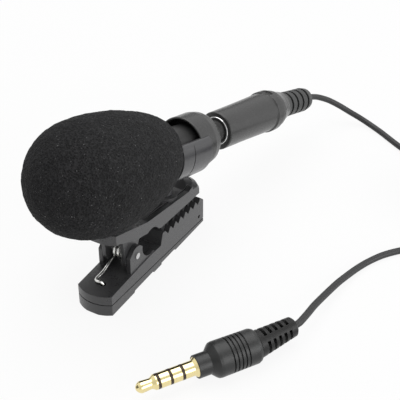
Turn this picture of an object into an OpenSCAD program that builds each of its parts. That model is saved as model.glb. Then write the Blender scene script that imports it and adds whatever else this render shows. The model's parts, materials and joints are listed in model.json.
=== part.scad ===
// Clip-on lavalier microphone: foam windscreen, capsule tube and body with its own
// 3.5 mm plug, sprung clip with a turning C-shaped holder, and an extension lead with
// a moulded socket, a coil of put-away cord and a four-pole 3.5 mm plug.
// Millimetres. +X runs from the clip's finger pad to its nose, +Z is up.
// The origin is the centre of the lower jaw's flat underside.

/* [Clip] */
// Length of the lower jaw from finger pad to nose
jaw_len = 45; // [42:0.5:50]
// Width of both jaws
jaw_w = 9.5; // [9:0.1:12]
// Height of the lower jaw's finger pad
pad_h = 5.8; // [5:0.1:6.5]
// Height of the lower jaw's tooth tips
tooth_top = 8.6; // [8.2:0.1:9]
// Number of teeth in the lower jaw
tooth_count = 7; // [5:1:7]
// Distance from one tooth to the next
tooth_pitch = 2.45; // [2:0.05:2.5]
// Depth of the notch between two teeth
tooth_depth = 1.5; // [1:0.1:1.8]
// Distance from the rear of the lower jaw to the hinge pin
pivot_from_rear = 13.2; // [12.6:0.1:14]
// Height of the hinge pin above the underside
pivot_h = 9.8; // [9.4:0.1:10.2]
// Diameter of the hinge pin
pin_d = 1.6; // [1.2:0.1:2]
// Thickness of each hinge ear
ear_t = 1.1; // [0.9:0.05:1.2]
// Radius of the cable hole between the jaws
cavity_r = 3.7; // [3:0.1:4]
// Height of the upper jaw's top above the underside, at the holder's post
seat_h = 14.2; // [13.8:0.1:14.6]

/* [Spring] */
// Wire diameter of the torsion spring
wire_d = 0.7; // [0.5:0.05:0.75]
// Number of turns in the spring's coil
spring_turns = 3; // [2:1:3]
// Mean radius of the spring's coil
spring_r = 1.75; // [1.6:0.05:2]

/* [Holder] */
// Distance from the rear of the lower jaw to the holder's post
post_from_rear = 33.8; // [32:0.2:35]
// Length of the C-shaped saddle
saddle_len = 11; // [10:0.5:11.5]
// Outer diameter of the saddle
saddle_d = 15.9; // [15.9:0.1:16.6]
// How far the saddle's lips rise above the level of the microphone's centre line, in degrees
saddle_lip = 22; // [15:1:40]
// Diameter of the post that the holder turns on
post_d = 3.6; // [3:0.1:4]

/* [Microphone] */
// Height of the microphone's centre line above the upper jaw's top, at the holder's post
mic_rise = 12; // [12:0.1:12.8]
// Downward tilt of the microphone towards its plug, in degrees
mic_tilt = 11.5; // [10:0.5:12]
// Turn of the holder on its post at rest, in degrees
mic_yaw = 8.5; // [0:0.5:12]
// Diameter of the capsule tube
tube_d = 10.2; // [9.6:0.1:10.6]
// Length of the capsule tube in front of the body
tube_len = 34; // [30:0.5:35]
// Diameter of the body
body_d = 14.2; // [13.4:0.1:14.4]
// Length of the body
body_len = 9.9; // [9:0.1:10.5]
// Widest diameter of the foam windscreen
foam_d = 28; // [25:0.2:28.4]
// Length of the windscreen's round front
foam_front = 15; // [13:0.5:17]
// Length of the windscreen's taper, as if it ran out to a point
foam_taper = 30.4; // [28:0.2:33]
// Length cut off the end of that taper, where the tube goes in
foam_cut = 6; // [5:0.5:8]

/* [Jack] */
// Diameter of both plugs' shafts
shaft_d = 3.5; // [3.45:0.05:3.5]
// Length of a plug's shaft
shaft_len = 14; // [14:0.1:14.5]
// Distance from one insulator of a plug to the next
pole_pitch = 2.85; // [2.6:0.05:3]
// Distance from a plug's tip to its first insulator
tip_len = 5; // [4.6:0.1:5.2]
// Width of an insulator
insulator_w = 0.7; // [0.5:0.05:0.8]

/* [Socket] */
// Diameter of the socket at its mouth
barrel_d = 10.1; // [9.6:0.1:10.6]
// Length of the socket's moulded barrel
barrel_len = 29; // [27:0.5:31]
// Diameter of the raised band at the barrel's rear
band_d = 11.4; // [10.8:0.1:12]
// Outer diameter of the bright bushing
bushing_d = 7.6; // [7:0.1:8]
// Length of the bright bushing
bushing_len = 7; // [6:0.5:8]
// Length of the socket's strain relief
socket_boot_len = 15; // [14.6:0.2:17]
// Number of grooves round the socket's strain relief
boot_grooves = 4; // [3:1:5]

/* [Cord plug] */
// Diameter of the plug's grip
grip_d = 8.3; // [7.8:0.1:8.6]
// Length of the plug's grip, with its collar
grip_len = 14.8; // [14:0.2:16]
// Number of fine grooves round the grip
grip_grooves = 5; // [3:1:6]
// Length of the plug's slotted strain relief
plug_boot_len = 10.4; // [9.4:0.2:10.8]

/* [Cord] */
// Diameter of the cord
cord_d = 1.7; // [1.6:0.05:1.8]

/* [Hidden] */
$fn = 64;
eps = 0.01;

// Clip, seen from the side
rear_x = -jaw_len / 2;
nose_x = jaw_len / 2;
half_w = jaw_w / 2;
pivot_x = rear_x + pivot_from_rear;
post_x = rear_x + post_from_rear;
pad_rear_r = 7.8;
step_h = 0.5;
step_rear = rear_x + 11;
step_front = nose_x - 15;
tooth_front = nose_x - 2.3;
tooth_rise = 0.1;
tooth_gap = 0.35;
tooth_inset = 1.4;
tooth_rear = tooth_front - tooth_count * tooth_pitch;
floor_z = pad_h + 0.45;
hole_x = pivot_x + 6;
hole_z = floor_z + cavity_r + 0.2;
ear_r = 2.6;
ear_gap = 0.2;
ear_inset = 0.25;
inner_ear_t = 1;
inner_ear_y = half_w - ear_inset - ear_t - ear_gap - inner_ear_t;
pin_fit = 0.05;
pin_end = 0.25;
inner_ear_r = 3.2;
hook_x = pivot_x - 8.8;
hook_y = inner_ear_y - 2.7;
lever_z = seat_h;
lever_end = rear_x + 3.2;
lever_slope = 21;
upper_nose_x = nose_x - 0.4;
upper_nose_r = 5.8;
groove_depth = 0.4;
panel_w = jaw_w - 2.6;
pocket_d = 7;

// Microphone, measured along its centre line from the holder's post
mic_h = seat_h + mic_rise;
body_front = 6;
body_rear = body_front + body_len;
collar_r = 2.9;
socket_face = body_rear + 4.6;
tube_front = body_front - tube_len;
tube_rim = body_front + 3;
tube_r = tube_d / 2;
tube_fit = 0.03;
neck_r = 4.2;
seat_step = tube_front + 7.5;
capsule_r = 4.1;
capsule_len = 6.2;
grille_t = 0.8;
foam_mid = -27.5;
foam_lift = 1;
foam_flat = 10.2;
foam_r = foam_d / 2;
foam_steps = 12;
body_r = body_d / 2;
seat_drop = mic_rise - 0.7;
wall_drop = seat_drop + 2.2;
saddle_rear = body_front + 2.6;
saddle_front = saddle_rear - saddle_len;
saddle_r = saddle_d / 2;
holder_neck_r = 2.7;

// Jack plugs: radii shared by both
shaft_r = shaft_d / 2;
shell_in = 1.25;
core_r = 1.2;
sleeve_root_r = 1.6;
stem_r = 0.6;
core_bore = 0.65;
joint_gap = 0.05;

// Socket, measured like the microphone
socket_rear = socket_face + barrel_len;
bushing_r = bushing_d / 2;
socket_core_r = 3.35;
core_len = 17;
boot_droop = 4;
boot_r = 3.75;
boot_end_r = 3.4;
cord_r = cord_d / 2;

// Cord plug on the table
plug_x = -41.05;
plug_y = -24.3;
plug_turn = 33;
plug_z = grip_d / 2;
grip_start = shaft_len + 0.4;
grip_end = grip_start + grip_len;
plug_boot_bend = 8;

// Cord: hand-laid points on and above the table, in millimetres
cord_z = 0.8;
cord_sides = 8;
first_run = [[78.1, -10.7, 10.9], [80.4, -12, 9.6], [82.5, -13.5, 8.1], [84.6, -15.9, 6],
             [86.2, -18.6, 3.9], [87.1, -21.8, 2.2], [86.6, -25.4, 1.2], [84.9, -29.3, cord_z],
             [82.5, -33.2, cord_z], [80.2, -37, cord_z], [78.2, -41, cord_z], [76.9, -45.5, cord_z],
             [76.1, -50, 1], [75.9, -54.5, 1.2]];
last_run = [[51.6, -75.4, 7.7], [48.6, -73.9, 6.8], [45.8, -71.2, 5.4], [43.5, -67.8, 3.9],
            [41.5, -64.2, 2.5], [39.6, -60.9, 1.4], [37.3, -57.6, 0.9], [34.4, -54.4, cord_z],
            [30.7, -51.5, cord_z], [26.6, -49.4, 0.9], [22.5, -48.1, 1.2], [18.3, -47.2, 1.6],
            [14, -46.5, 2.1], [9.8, -46, 2.6], [5.8, -45.5, 3.1], [2, -45.1, 3.5],
            [-1.6, -45, 3.9]];

// Put-away coil: four layers that wind in, out, in and out again
coil_x = 62;
coil_y = -64;
coil_z = 1.5;
coil_out = 14;
coil_in = 4.7;
coil_layers = 4;
coil_turns = 3.7;
climb_turns = 0.5;
coil_rings = 24;
coil_sides = 6;
coil_step = cord_d + 0.47;
tie_t = 0.7;
tie_w = 5;

// --- Small helpers ------------------------------------------------------------------

function unit(v) = v / norm(v);

// The part of v that is square to the direction t
function square_to(v, t) = unit(v - (v * t) * t);

// Microphone coordinates to the clip's
function spun(p) = [p.x * cos(mic_yaw) + p.y * sin(mic_yaw),
                    -p.x * sin(mic_yaw) + p.y * cos(mic_yaw), p.z];
function tipped(p) = [p.x * cos(mic_tilt) + p.z * sin(mic_tilt), p.y,
                      -p.x * sin(mic_tilt) + p.z * cos(mic_tilt)];
function from_mic(p) = [post_x, 0, mic_h] + tipped(spun(p));

module mic_frame() {
  translate([post_x, 0, mic_h])
    rotate([0, mic_tilt, 0])
      rotate([0, 0, -mic_yaw])
        children();
}

module plug_frame() {
  translate([plug_x, plug_y, plug_z])
    rotate([0, 0, -plug_turn])
      children();
}

// A turned solid along X from [radius, position] points
module turned(points) {
  rotate([0, 90, 0])
    rotate_extrude()
      polygon(points);
}

// A straight round bar or bore along X
module bar(from, to, r) {
  translate([from, 0, 0])
    rotate([0, 90, 0])
      cylinder(r = r, h = to - from);
}

// A tube swept along a path, with every face a triangle. Each ring's upward direction is
// carried on from the ring before, so the tube never twists.
module swept(path, r, sides, up) {
  n = len(path);
  ways = [for (i = [0 : n - 1]) unit(path[min(i + 1, n - 1)] - path[max(i - 1, 0)])];
  ups = [for (i = 0, v = square_to(up, ways[0]); i < n;
              i = i + 1, v = square_to(v, ways[min(i, n - 1)])) v];
  rings = [for (i = [0 : n - 1])
    let (v = ups[i], s = cross(ways[i], v))
    for (k = [0 : sides - 1])
      path[i] + r * cos((k + 0.5) * 360 / sides) * s + r * sin((k + 0.5) * 360 / sides) * v];
  skin = [for (i = [0 : n - 2])
    for (k = [0 : sides - 1])
      let (a = i * sides + k, b = i * sides + (k + 1) % sides)
        each [[a, a + sides, b], [b, a + sides, b + sides]]];
  near_cap = [for (k = [1 : sides - 2]) [0, k, k + 1]];
  last = (n - 1) * sides;
  far_cap = [for (k = [1 : sides - 2]) [last, last + k + 1, last + k]];
  polyhedron(points = rings, faces = concat(skin, near_cap, far_cap));
}

// Plan outline of a jaw, drawn in by d all round
module jaw_plan(d, front_x, front_r) {
  intersection() {
    translate([rear_x + d, -half_w + d])
      square([front_x - rear_x - 2 * d, jaw_w - 2 * d]);
    union() {
      translate([rear_x + pad_rear_r, 0])
        circle(r = pad_rear_r - d);
      translate([rear_x + pad_rear_r, -half_w])
        square([jaw_len, jaw_w]);
    }
    union() {
      translate([front_x - front_r, 0])
        circle(r = front_r - d);
      translate([rear_x, -half_w])
        square([front_x - front_r - rear_x, jaw_w]);
    }
  }
}

// A side profile of [x, z] points, given a width across the jaw
module across(points, w) {
  rotate([90, 0, 0])
    linear_extrude(w, center = true)
      polygon(points);
}

// A round bar or bore across the jaw
module cross_bar(x, z, r, w) {
  translate([x, 0, z])
    rotate([90, 0, 0])
      cylinder(r = r, h = w, center = true);
}

// Biting edge as a zigzag from the nose to the hinge, lifted by dz
function tooth_line(dz) = [for (i = [0 : 2 * tooth_count])
  [tooth_front - i * tooth_pitch / 2,
   tooth_top - 0.3 + i * tooth_rise / 2 - (i % 2) * tooth_depth + dz]];

// --- Clip ---------------------------------------------------------------------------

module lower_ear() {
  cross_bar(pivot_x, pivot_h, ear_r, ear_t);
  across([[pivot_x - ear_r - 0.4, floor_z - 1], [pivot_x - ear_r - 0.4, pivot_h + 0.8],
          [pivot_x - 1.8, pivot_h + 1.9], [pivot_x + 1.7, pivot_h + 1.9],
          [hole_x + 1.4, floor_z], [hole_x + 1.4, floor_z - 1]], ear_t);
}

module lower_jaw() {
  ear_y = half_w - ear_inset - ear_t / 2;
  color("dimgray")
  difference() {
    union() {
      intersection() {
        across(concat([[rear_x, 0.15], [rear_x + 0.15, 0], [step_rear, 0], [step_rear + 0.3, step_h],
                       [step_front - 0.3, step_h], [step_front, 0], [nose_x - 0.6, 0], [nose_x, 0.6],
                       [nose_x, tooth_top - 2.4]],
                      tooth_line(0),
                      [[tooth_rear - 1.2, tooth_top + 0.6], [tooth_rear - 2.3, floor_z - 0.3],
                       [hole_x, floor_z], [rear_x, pad_h - 0.2]]), jaw_w);
        linear_extrude(20)
          jaw_plan(0, nose_x, 14);
      }
      for (side = [-1, 1])
        translate([0, side * ear_y, 0])
          lower_ear();
      // Half-round gate lug under the cable hole
      intersection() {
        cross_bar(hole_x + 2.4, step_h, 1.8, jaw_w);
        translate([0, 0, 5])
          cube([jaw_len, jaw_w, 10], center = true);
      }
    }
    cross_bar(pivot_x, pivot_h, pin_d / 2, jaw_w + 2);
    cross_bar(hole_x, hole_z, cavity_r, jaw_w + 2);
    // Hole in the pad for the spring's hooked end
    translate([hook_x, hook_y, pad_h - 2])
      cylinder(r = 0.75, h = 4);
    // Parting groove round the side and rear
    translate([0, 0, 1.9])
      rotate([0, 2.9, 0])
        linear_extrude(0.3)
          difference() {
            square([jaw_len + 4, jaw_w + 4], center = true);
            jaw_plan(0.25, nose_x, 14);
          }
    // Cored-out pockets between the ribs underneath
    for (x = [-17.5, -11.6, 5.2, 11.1])
      translate([x, -half_w + 1.3, -eps])
        cube([5, jaw_w - 2.6, 2.6]);
    // Pinhole gate in the side of the nose
    cross_bar(nose_x - 3.1, 2.8, 0.5, jaw_w + 2);
  }
}

module upper_ear() {
  cross_bar(pivot_x, pivot_h, inner_ear_r, inner_ear_t);
  across([[pivot_x - inner_ear_r, pivot_h], [pivot_x - inner_ear_r - 0.6, lever_z + 2],
          [pivot_x + 3, lever_z + 1], [pivot_x + inner_ear_r - 0.1, pivot_h]], inner_ear_t);
}

// Rounded nose: what lies behind its centre, and a turned cap round it
module nose_shape() {
  translate([upper_nose_x - upper_nose_r, 0, 0])
    rotate_extrude()
      polygon([[0, 0], [upper_nose_r, 0], [upper_nose_r, seat_h - 2.4],
               [upper_nose_r - 0.5, seat_h - 1.4], [upper_nose_r - 1.9, seat_h - 0.5],
               [upper_nose_r - 4, seat_h + 0.3], [0, seat_h + 1]]);
  translate([upper_nose_x - upper_nose_r - 60, -half_w, 0])
    cube([60, jaw_w, 40]);
}

module upper_jaw() {
  top_x = hole_x - 1;
  top_z = seat_h + 2.5;
  end_z = top_z + (top_x - lever_end) * tan(lever_slope - 3);
  color("dimgray")
  difference() {
    union() {
      intersection() {
        across([[upper_nose_x, tooth_top + 1.5], [upper_nose_x, seat_h + 1],
                [upper_nose_x - 4.4, seat_h + 0.3], [upper_nose_x - 7.7, seat_h - 0.4],
                [top_x, top_z], [lever_end + 0.6, end_z], [lever_end, end_z - 0.6],
                [lever_end + 0.2, end_z - 2.8], [lever_end + 2.4, end_z - 3.1],
                [pivot_x, lever_z + 0.5], [hole_x - 3.2, lever_z - 0.1],
                [hole_x + 4.7, tooth_top + 2.7]], jaw_w);
        translate([0, 0, -1])
          linear_extrude(40)
            jaw_plan(0, upper_nose_x, upper_nose_r);
        lever_plan();
        nose_shape();
      }
      // Inner block that carries the teeth
      intersection() {
        across(concat([[tooth_front, tooth_top + 3]],
                      tooth_line(tooth_gap),
                      [[tooth_rear - 0.6, tooth_top + 3.5]]), jaw_w);
        linear_extrude(30)
          jaw_plan(tooth_inset, upper_nose_x, upper_nose_r);
      }
      for (side = [-1, 1])
        translate([0, side * (inner_ear_y + inner_ear_t / 2), 0])
          upper_ear();
      // Seat that the holder turns on
      mic_seat(seat_drop, seat_drop + 2, 4);
    }
    cross_bar(pivot_x, pivot_h, pin_d / 2 + pin_fit, jaw_w + 2);
    cross_bar(hole_x, hole_z, cavity_r, jaw_w + 2);
    mic_seat(seat_drop - 1, seat_drop + 8, post_d / 2 + pin_fit);
    mic_seat(wall_drop, wall_drop + 8, pocket_d / 2);
    // Groove round the flush panel in front of the seat and behind it
    difference() {
      intersection() {
        across([[upper_nose_x - 1.4, seat_h - 1.2], [upper_nose_x - 4.4, seat_h + 0.3 - groove_depth],
                [upper_nose_x - 7.7, seat_h - 0.4 - groove_depth], [top_x, top_z - groove_depth],
                [top_x, top_z + 3], [upper_nose_x - 1.4, top_z + 3]], panel_w);
        linear_extrude(30)
          jaw_plan(1.3, upper_nose_x - 0.5, upper_nose_r);
      }
      translate([0, 0, -1])
        linear_extrude(40)
          jaw_plan(1.7, upper_nose_x - 0.5, upper_nose_r);
      mic_seat(seat_drop, seat_drop + 3, 4);
    }
    // Gate dimple in the nose
    translate([upper_nose_x - 4, -0.7, seat_h + 0.3])
      sphere(r = 0.5);
    // Grip ribs on the lever
    for (i = [0 : 3])
      translate([lever_end + 2 + i * 1.5, 0, end_z - (1.4 + i * 1.5) * tan(lever_slope - 3)])
        rotate([0, 45, 0])
          cube([0.4, jaw_w - 3.4, 0.4], center = true);
  }
}

// The lever's rounded rear end, as the pad's but shorter
module lever_plan() {
  translate([lever_end + pad_rear_r, 0, 0])
    cylinder(r = pad_rear_r, h = 40);
  translate([lever_end + pad_rear_r, -half_w, 0])
    cube([jaw_len, jaw_w, 40]);
}

// A round bar along the holder's post, from one drop below the microphone to another
module mic_seat(from, to, r) {
  mic_frame()
    translate([0, 0, -to])
      cylinder(r = r, h = to - from);
}

module hinge_pin() {
  color("silver")
    cross_bar(pivot_x, pivot_h, pin_d / 2, jaw_w + 2 * (pin_end - ear_inset));
}

// Hook and leg on the pad, coil round the pin, then a leg up to the lever
function spring_path() =
  let (w = inner_ear_y - 0.15 - wire_d / 2,
       steps = 8 * spring_turns,
       pad_z = pad_h + wire_d / 2 + 0.1)
  concat([[hook_x + 0.05, hook_y - 0.05, pad_h - 0.8], [hook_x, hook_y + 0.1, pad_h - 0.1],
          [hook_x - 0.15, hook_y + 0.6, pad_z + 0.1], [pivot_x - 9.1, w - 0.9, pad_z],
          [pivot_x - 8.8, w - 0.2, pad_z], [pivot_x - 8, w, pad_z],
          [pivot_x - 5.4, w, pad_z + 0.1], [pivot_x - 2.8, w, pad_z + 0.9]],
         [for (i = [0 : steps])
           let (a = 270 + 360 * i / 8)
             [pivot_x + spring_r * cos(a), w - 2 * w * i / steps, pivot_h + spring_r * sin(a)]],
         [[pivot_x + spring_r * 0.7, -w, pivot_h - spring_r * 0.7],
          [pivot_x + spring_r, -w, pivot_h], [pivot_x + spring_r * 0.6, -w, pivot_h + spring_r],
          [pivot_x - 1.2, -w, pivot_h + spring_r + 0.9], [pivot_x - 4, -w, lever_z + 0.9],
          [pivot_x - 6.4, -w, lever_z + 3.1]]);

module torsion_spring() {
  color("silver")
    swept(spring_path(), wire_d / 2, 6, [0, 0, 1]);
}

// --- Holder -------------------------------------------------------------------------

module mic_holder() {
  bore = tube_r + tube_fit;
  mid = (saddle_r + bore) / 2;
  color("darkslategray")
  mic_frame()
  difference() {
    union() {
      translate([saddle_front, 0, 0])
        rotate([90, 0, 90])
          linear_extrude(saddle_len)
            union() {
              difference() {
                circle(r = saddle_r);
                circle(r = bore);
                polygon([[0, 0], [30 * cos(saddle_lip), 30 * sin(saddle_lip)], [0, 60],
                         [-30 * cos(saddle_lip), 30 * sin(saddle_lip)]]);
              }
              for (side = [-1, 1])
                translate([side * mid * cos(saddle_lip), mid * sin(saddle_lip)])
                  circle(r = (saddle_r - bore) / 2 - 0.03);
            }
      // Neck and post
      translate([0, 0, -seat_drop + 0.1])
        cylinder(r = holder_neck_r, h = seat_drop - bore - 0.6);
      translate([0, 0, -wall_drop - 0.15])
        cylinder(r = post_d / 2, h = 4);
      // Ribs from the neck to the saddle
      translate([saddle_front + 1, -0.8, -saddle_r - 1.6])
        cube([saddle_len - 6, 1.6, 3]);
    }
    // Counterbore that laps the microphone's body
    bar(body_front - 0.3, saddle_rear + 1, body_r + 0.15);
    // Fine groove round the outside
    difference() {
      bar(1.7, 2, saddle_r + 1);
      bar(1, 3, saddle_r - 0.2);
    }
    // Rivet bore and its head's recess in the saddle
    translate([0, 0, -wall_drop - 1])
      cylinder(r = 0.8, h = 9);
    translate([0, 0, -bore - 0.9])
      cylinder(r = 1.5, h = 2);
  }
}

module swivel_rivet() {
  bore = tube_r + tube_fit;
  color("silver")
  mic_frame()
  union() {
    translate([0, 0, -wall_drop - 1.05])
      cylinder(r = 2.8, h = 0.9);
    translate([0, 0, -wall_drop - 0.5])
      cylinder(r = 0.75, h = wall_drop - bore - 0.4);
    translate([0, 0, -bore - 0.9])
      cylinder(r = 1.4, h = 0.6);
  }
}

// --- Microphone ---------------------------------------------------------------------

module foam_windscreen() {
  tail = foam_taper - foam_cut;
  end_r = foam_r * sqrt(1 - pow(tail / foam_taper, 2));
  color("black")
  mic_frame()
  difference() {
    translate([foam_mid, 0, foam_lift])
      turned(concat([for (i = [0 : foam_steps])
                      let (a = 90 * i / foam_steps)
                        [foam_r * sin(a), -foam_front * cos(a)]],
                    [for (i = [1 : foam_steps])
                      let (x = tail * i / foam_steps)
                        [foam_r * sqrt(1 - pow(x / foam_taper, 2)), x]],
                    [[end_r - 1.2, tail + 0.01], [0, tail + 0.01]]));
    bar(tube_front - 0.6, 5, tube_r + 0.1);
    // Dent where the foam's end meets the holder's neck
    translate([0, 0, -seat_drop])
      cylinder(r = holder_neck_r + 0.3, h = seat_drop);
    // Pressed flat where the lever bears on it
    translate([foam_mid - foam_front - 1, -foam_r, -foam_flat - foam_r])
      cube([foam_front + foam_taper, foam_d, foam_r]);
  }
}

module capsule_tube() {
  color("black")
  mic_frame()
  difference() {
    turned([[0, tube_front], [tube_r - 0.3, tube_front], [tube_r, tube_front + 0.3],
            [tube_r, tube_rim - 0.2], [tube_r - 0.2, tube_rim], [neck_r, tube_rim],
            [neck_r, tube_rim + 1.8], [0, tube_rim + 1.8]]);
    bar(tube_front - 1, seat_step, capsule_r + joint_gap);
    bar(seat_step - 1, tube_rim - 1, tube_r - 1.7);
    bar(0, tube_rim + 3, 1.6);
    // Sound slots behind the capsule's rim
    for (i = [0 : 5])
      rotate([i * 60, 0, 0])
        translate([tube_front + 1.2, -0.5, 3])
          cube([4, 1, 4]);
  }
}

module capsule_grille() {
  ring = 2.6;
  color("silver")
  mic_frame()
  translate([seat_step - capsule_len - grille_t, 0, 0])
  difference() {
    bar(0, grille_t, capsule_r);
    bar(-1, 2, 0.45);
    for (i = [0 : 5])
      rotate([i * 60, 0, 0])
        translate([0, ring, 0])
          bar(-1, 2, 0.45);
    for (i = [0 : 5])
      rotate([i * 60 + 30, 0, 0])
        translate([0, ring / 2, 0])
          bar(-1, 2, 0.45);
  }
}

module mic_capsule() {
  color("gold")
  mic_frame()
  difference() {
    turned([[0, seat_step - capsule_len + 0.3], [capsule_r - 0.9, seat_step - capsule_len + 0.3],
            [capsule_r - 0.9, seat_step - capsule_len], [capsule_r, seat_step - capsule_len],
            [capsule_r, seat_step - 0.4], [capsule_r - 0.4, seat_step], [0, seat_step]]);
    bar(seat_step - capsule_len - 1, seat_step - capsule_len + 0.8, 0.6);
  }
}

module mic_body() {
  color("dimgray")
  mic_frame()
  difference() {
    turned([[0, body_front], [body_r - 0.15, body_front], [body_r, body_front + 0.15],
            [body_r, body_rear - 4.4], [body_r - 0.35, body_rear - 2.6],
            [body_r - 1.1, body_rear - 1.2], [body_r - 2.1, body_rear - 0.35],
            [body_r - 3.2, body_rear], [collar_r, body_rear], [collar_r, socket_face - 0.1],
            [0, socket_face - 0.1]]);
    bar(body_front - 1, tube_rim + 1.9, neck_r + joint_gap);
    bar(body_front, tube_rim + 3.4, 2.4);
    bar(body_front, socket_face + 1, sleeve_root_r + joint_gap);
    bar(socket_face - 2.4, socket_face - 1.4, 2.3);
    // Deep recess between the tube and the body's thin rim
    bar(body_front - 1, tube_rim + 0.1, body_r - 0.45);
  }
}

// --- Jack plugs: one set of turned poles, tip at "tip", shaft running back to "root" -----

// Positions along a plug that points along X, counted from its tip by dir
module shaft_sleeve(tip, dir, poles, root) {
  front = tip_len + (poles - 2) * pole_pitch + insulator_w / 2;
  flip(tip, dir)
  difference() {
    turned([[0, front], [shaft_r, front], [shaft_r, shaft_len - 0.3], [sleeve_root_r, shaft_len - 0.3],
            [sleeve_root_r, root], [0, root]]);
    bar(front - 1, root + 1, shell_in);
  }
}

module shaft_ring(tip, dir, index) {
  start = tip_len + (index - 1) * pole_pitch + insulator_w / 2;
  flip(tip, dir)
  difference() {
    bar(start, start + pole_pitch - insulator_w, shaft_r);
    bar(start - 1, start + pole_pitch, shell_in);
  }
}

module shaft_insulator(tip, dir, poles, root) {
  front = tip_len - insulator_w / 2;
  flip(tip, dir)
  difference() {
    union() {
      bar(front, root, core_r);
      for (i = [0 : poles - 2])
        bar(front + i * pole_pitch, front + i * pole_pitch + insulator_w, shaft_r);
    }
    bar(front - 1, root + 1, core_bore);
  }
}

module shaft_tip(tip, dir, root) {
  front = tip_len - insulator_w / 2;
  flip(tip, dir)
    turned([[0, 0], [0.45, 0.08], [1, 0.5], [1.3, 1], [1.34, 1.3], [1.2, 3.4], [1.27, 3.6],
            [1.65, 4.2], [shaft_r, 4.35], [shaft_r, front], [stem_r, front], [stem_r, root + 0.6],
            [0, root + 0.6]]);
}

module flip(tip, dir) {
  translate([tip, 0, 0])
    rotate([0, 0, dir > 0 ? 0 : 180])
      children();
}

mic_tip = socket_face + shaft_len;

module mic_plug_sleeve() {
  color("gold")
  mic_frame()
  union() {
    shaft_sleeve(mic_tip, -1, 3, shaft_len + 4);
    difference() {
      bar(socket_face - 2.3, socket_face - 1.5, 2.25);
      bar(socket_face - 3, socket_face, shell_in);
    }
  }
}

module mic_plug_insulator() {
  color("black")
  mic_frame()
    shaft_insulator(mic_tip, -1, 3, shaft_len + 5);
}

module mic_plug_ring() {
  color("gold")
  mic_frame()
    shaft_ring(mic_tip, -1, 1);
}

module mic_plug_tip() {
  color("gold")
  mic_frame()
    shaft_tip(mic_tip, -1, shaft_len + 5);
}

// --- Socket on the lead ---------------------------------------------------------------

module boot_frame() {
  translate([socket_rear, 0, 0])
    rotate([0, boot_droop, 0])
      children();
}

module socket_barrel() {
  r = barrel_d / 2;
  band_r = band_d / 2;
  band_at = socket_rear - 8;
  color("dimgray")
  mic_frame()
  difference() {
    turned([[0, socket_face], [r - 0.25, socket_face], [r, socket_face + 0.25],
            [r + 0.1, socket_face + 10], [r + 0.35, band_at],
            [band_r, band_at + 0.25], [band_r, band_at + 2.4], [band_r - 0.3, band_at + 2.6],
            [r + 0.3, band_at + 3.3], [r + 0.2, band_at + 4.2], [boot_r + 0.7, socket_rear - 1.6],
            [boot_r + 0.1, socket_rear + 0.8], [0, socket_rear + 0.8]]);
    bar(socket_face - 1, socket_face + bushing_len, bushing_r + joint_gap);
    bar(socket_face - 1, socket_face + core_len, socket_core_r + joint_gap);
    bar(socket_face + core_len - 1, socket_rear - 3, 2.8);
    boot_frame() {
      translate([0, -10, -10])
        cube([20, 20, 20]);
      bar(-4, 1, 2.2);
    }
    // Flat recess on the top and a short slot low on the side
    translate([band_at - 0.1, -1.6, r + 0.3])
      cube([2, 3.2, 2]);
    rotate([-115, 0, 0])
      translate([band_at + 3.4, -0.2, r - 0.2])
        cube([3.2, 0.4, 2]);
  }
}

module socket_bushing() {
  color("silver")
  mic_frame()
  difference() {
    turned([[0, socket_face - 0.05], [bushing_r - 0.15, socket_face - 0.05],
            [bushing_r, socket_face + 0.1], [bushing_r, socket_face + bushing_len],
            [0, socket_face + bushing_len]]);
    bar(socket_face - 1, socket_face + bushing_len + 1, socket_core_r + joint_gap);
  }
}

// One contact finger, as [position, radius] points, in its slot at an angle round the core
module finger(at, angle) {
  mic_frame()
  rotate([angle, 0, 0])
  translate([0, 0.6, 0])
    rotate([90, 0, 0])
      linear_extrude(1.2)
        polygon([[at, 3.3], [at + 4.5, 3.3], [at + 5.2, 2.9], [at + 3, 1.85], [at + 2.6, 1.85],
                 [at + 1.8, 2.2], [at + 2, 2.4], [at + 2.8, 2.1], [at + 4.4, 2.9],
                 [at, 3]]);
}

module finger_slot(at, angle) {
  rotate([angle, 0, 0])
    translate([at, -0.65, 1.2])
      cube([5.2, 1.3, 3]);
}

sleeve_at = socket_face + 2;
ring_at = socket_face + 5.9;
tip_at = socket_face + 10;

module socket_core() {
  color("black")
  mic_frame()
  difference() {
    turned([[0, socket_face], [socket_core_r, socket_face],
            [socket_core_r, socket_face + core_len], [0, socket_face + core_len]]);
    turned([[0, socket_face - 1], [shaft_r + 0.4, socket_face - 1],
            [shaft_r + 0.4, socket_face], [shaft_r + 0.06, socket_face + 0.35],
            [shaft_r + 0.06, mic_tip + 0.4], [0, mic_tip + 0.8]]);
    finger_slot(sleeve_at, 90);
    finger_slot(ring_at, 210);
    finger_slot(tip_at, 330);
  }
}

module contact_sleeve() {
  color("gold")
    finger(sleeve_at, 90);
}

module contact_ring() {
  color("gold")
    finger(ring_at, 210);
}

module contact_tip() {
  color("gold")
    finger(tip_at, 330);
}

module socket_boot() {
  pitch = 2.8;
  color("dimgray")
  mic_frame()
  boot_frame()
  difference() {
    union() {
      turned([[0, 0], [boot_r, 0], [boot_r - 0.2, 1.5], [boot_end_r + 0.05, 5],
              [boot_end_r, socket_boot_len - 3.5], [boot_end_r - 0.35, socket_boot_len - 1.6],
              [boot_end_r - 1.1, socket_boot_len - 0.4], [boot_end_r - 1.9, socket_boot_len],
              [0, socket_boot_len]]);
      bar(-3.5, 0.1, 2.1);
    }
    for (i = [0 : boot_grooves - 1])
      difference() {
        bar(1.95 + i * pitch, 2.85 + i * pitch, boot_r + 1);
        bar(1 + i * pitch, 4 + i * pitch, boot_end_r - 0.8);
      }
    bar(-4, 1, 1.2);
  }
}

// --- Cord ---------------------------------------------------------------------------

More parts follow.
